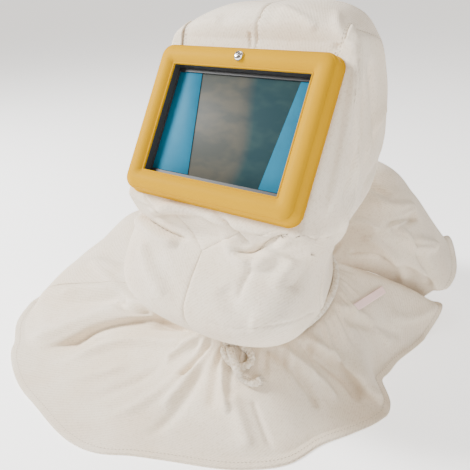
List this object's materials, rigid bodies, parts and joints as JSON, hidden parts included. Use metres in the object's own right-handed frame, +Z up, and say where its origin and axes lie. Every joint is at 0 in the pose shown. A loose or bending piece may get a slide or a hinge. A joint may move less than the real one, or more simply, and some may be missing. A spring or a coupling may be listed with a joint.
{
  "type": "sandblasting hood",
  "caption": "Canvas sandblasting hood with a yellow framed window in its face and a drawcord over a shoulder cape, lying as set down.",
  "frame": {"origin": "below the middle of the whole, on the surface that the cape lies on", "axes": "+Z up, -Y the way the window faces, +X the wearer's left"},
  "size_m": [0.5576, 0.568, 0.429],
  "materials": {
    "canvas": "matte",
    "yellow_plastic": "gloss",
    "black_rubber": "satin",
    "black_plastic": "matte",
    "glass": "gloss",
    "blue_film": "satin",
    "chrome": "gloss",
    "cotton_cord": "matte",
    "tag_tape": "satin"
  },
  "bodies": {
    "root": {"crown_left": "canvas", "crown_right": "canvas", "front_left": "canvas", "front_right": "canvas", "side_left": "canvas", "side_right": "canvas", "chin_gusset": "canvas", "neck_casing": "canvas", "cape_front": "canvas", "cape_back": "canvas", "window_frame": "yellow_plastic", "window_gasket": "black_rubber", "backing_ring": "black_plastic", "window_pane": "glass", "film_left": "blue_film", "film_right": "blue_film", "frame_screw": "chrome", "drawcord": "cotton_cord", "drawcord_knot": "cotton_cord", "drawcord_bow": "cotton_cord", "drawcord_tail": "cotton_cord", "side_tag": "tag_tape"}
  },
  "joints": []
}
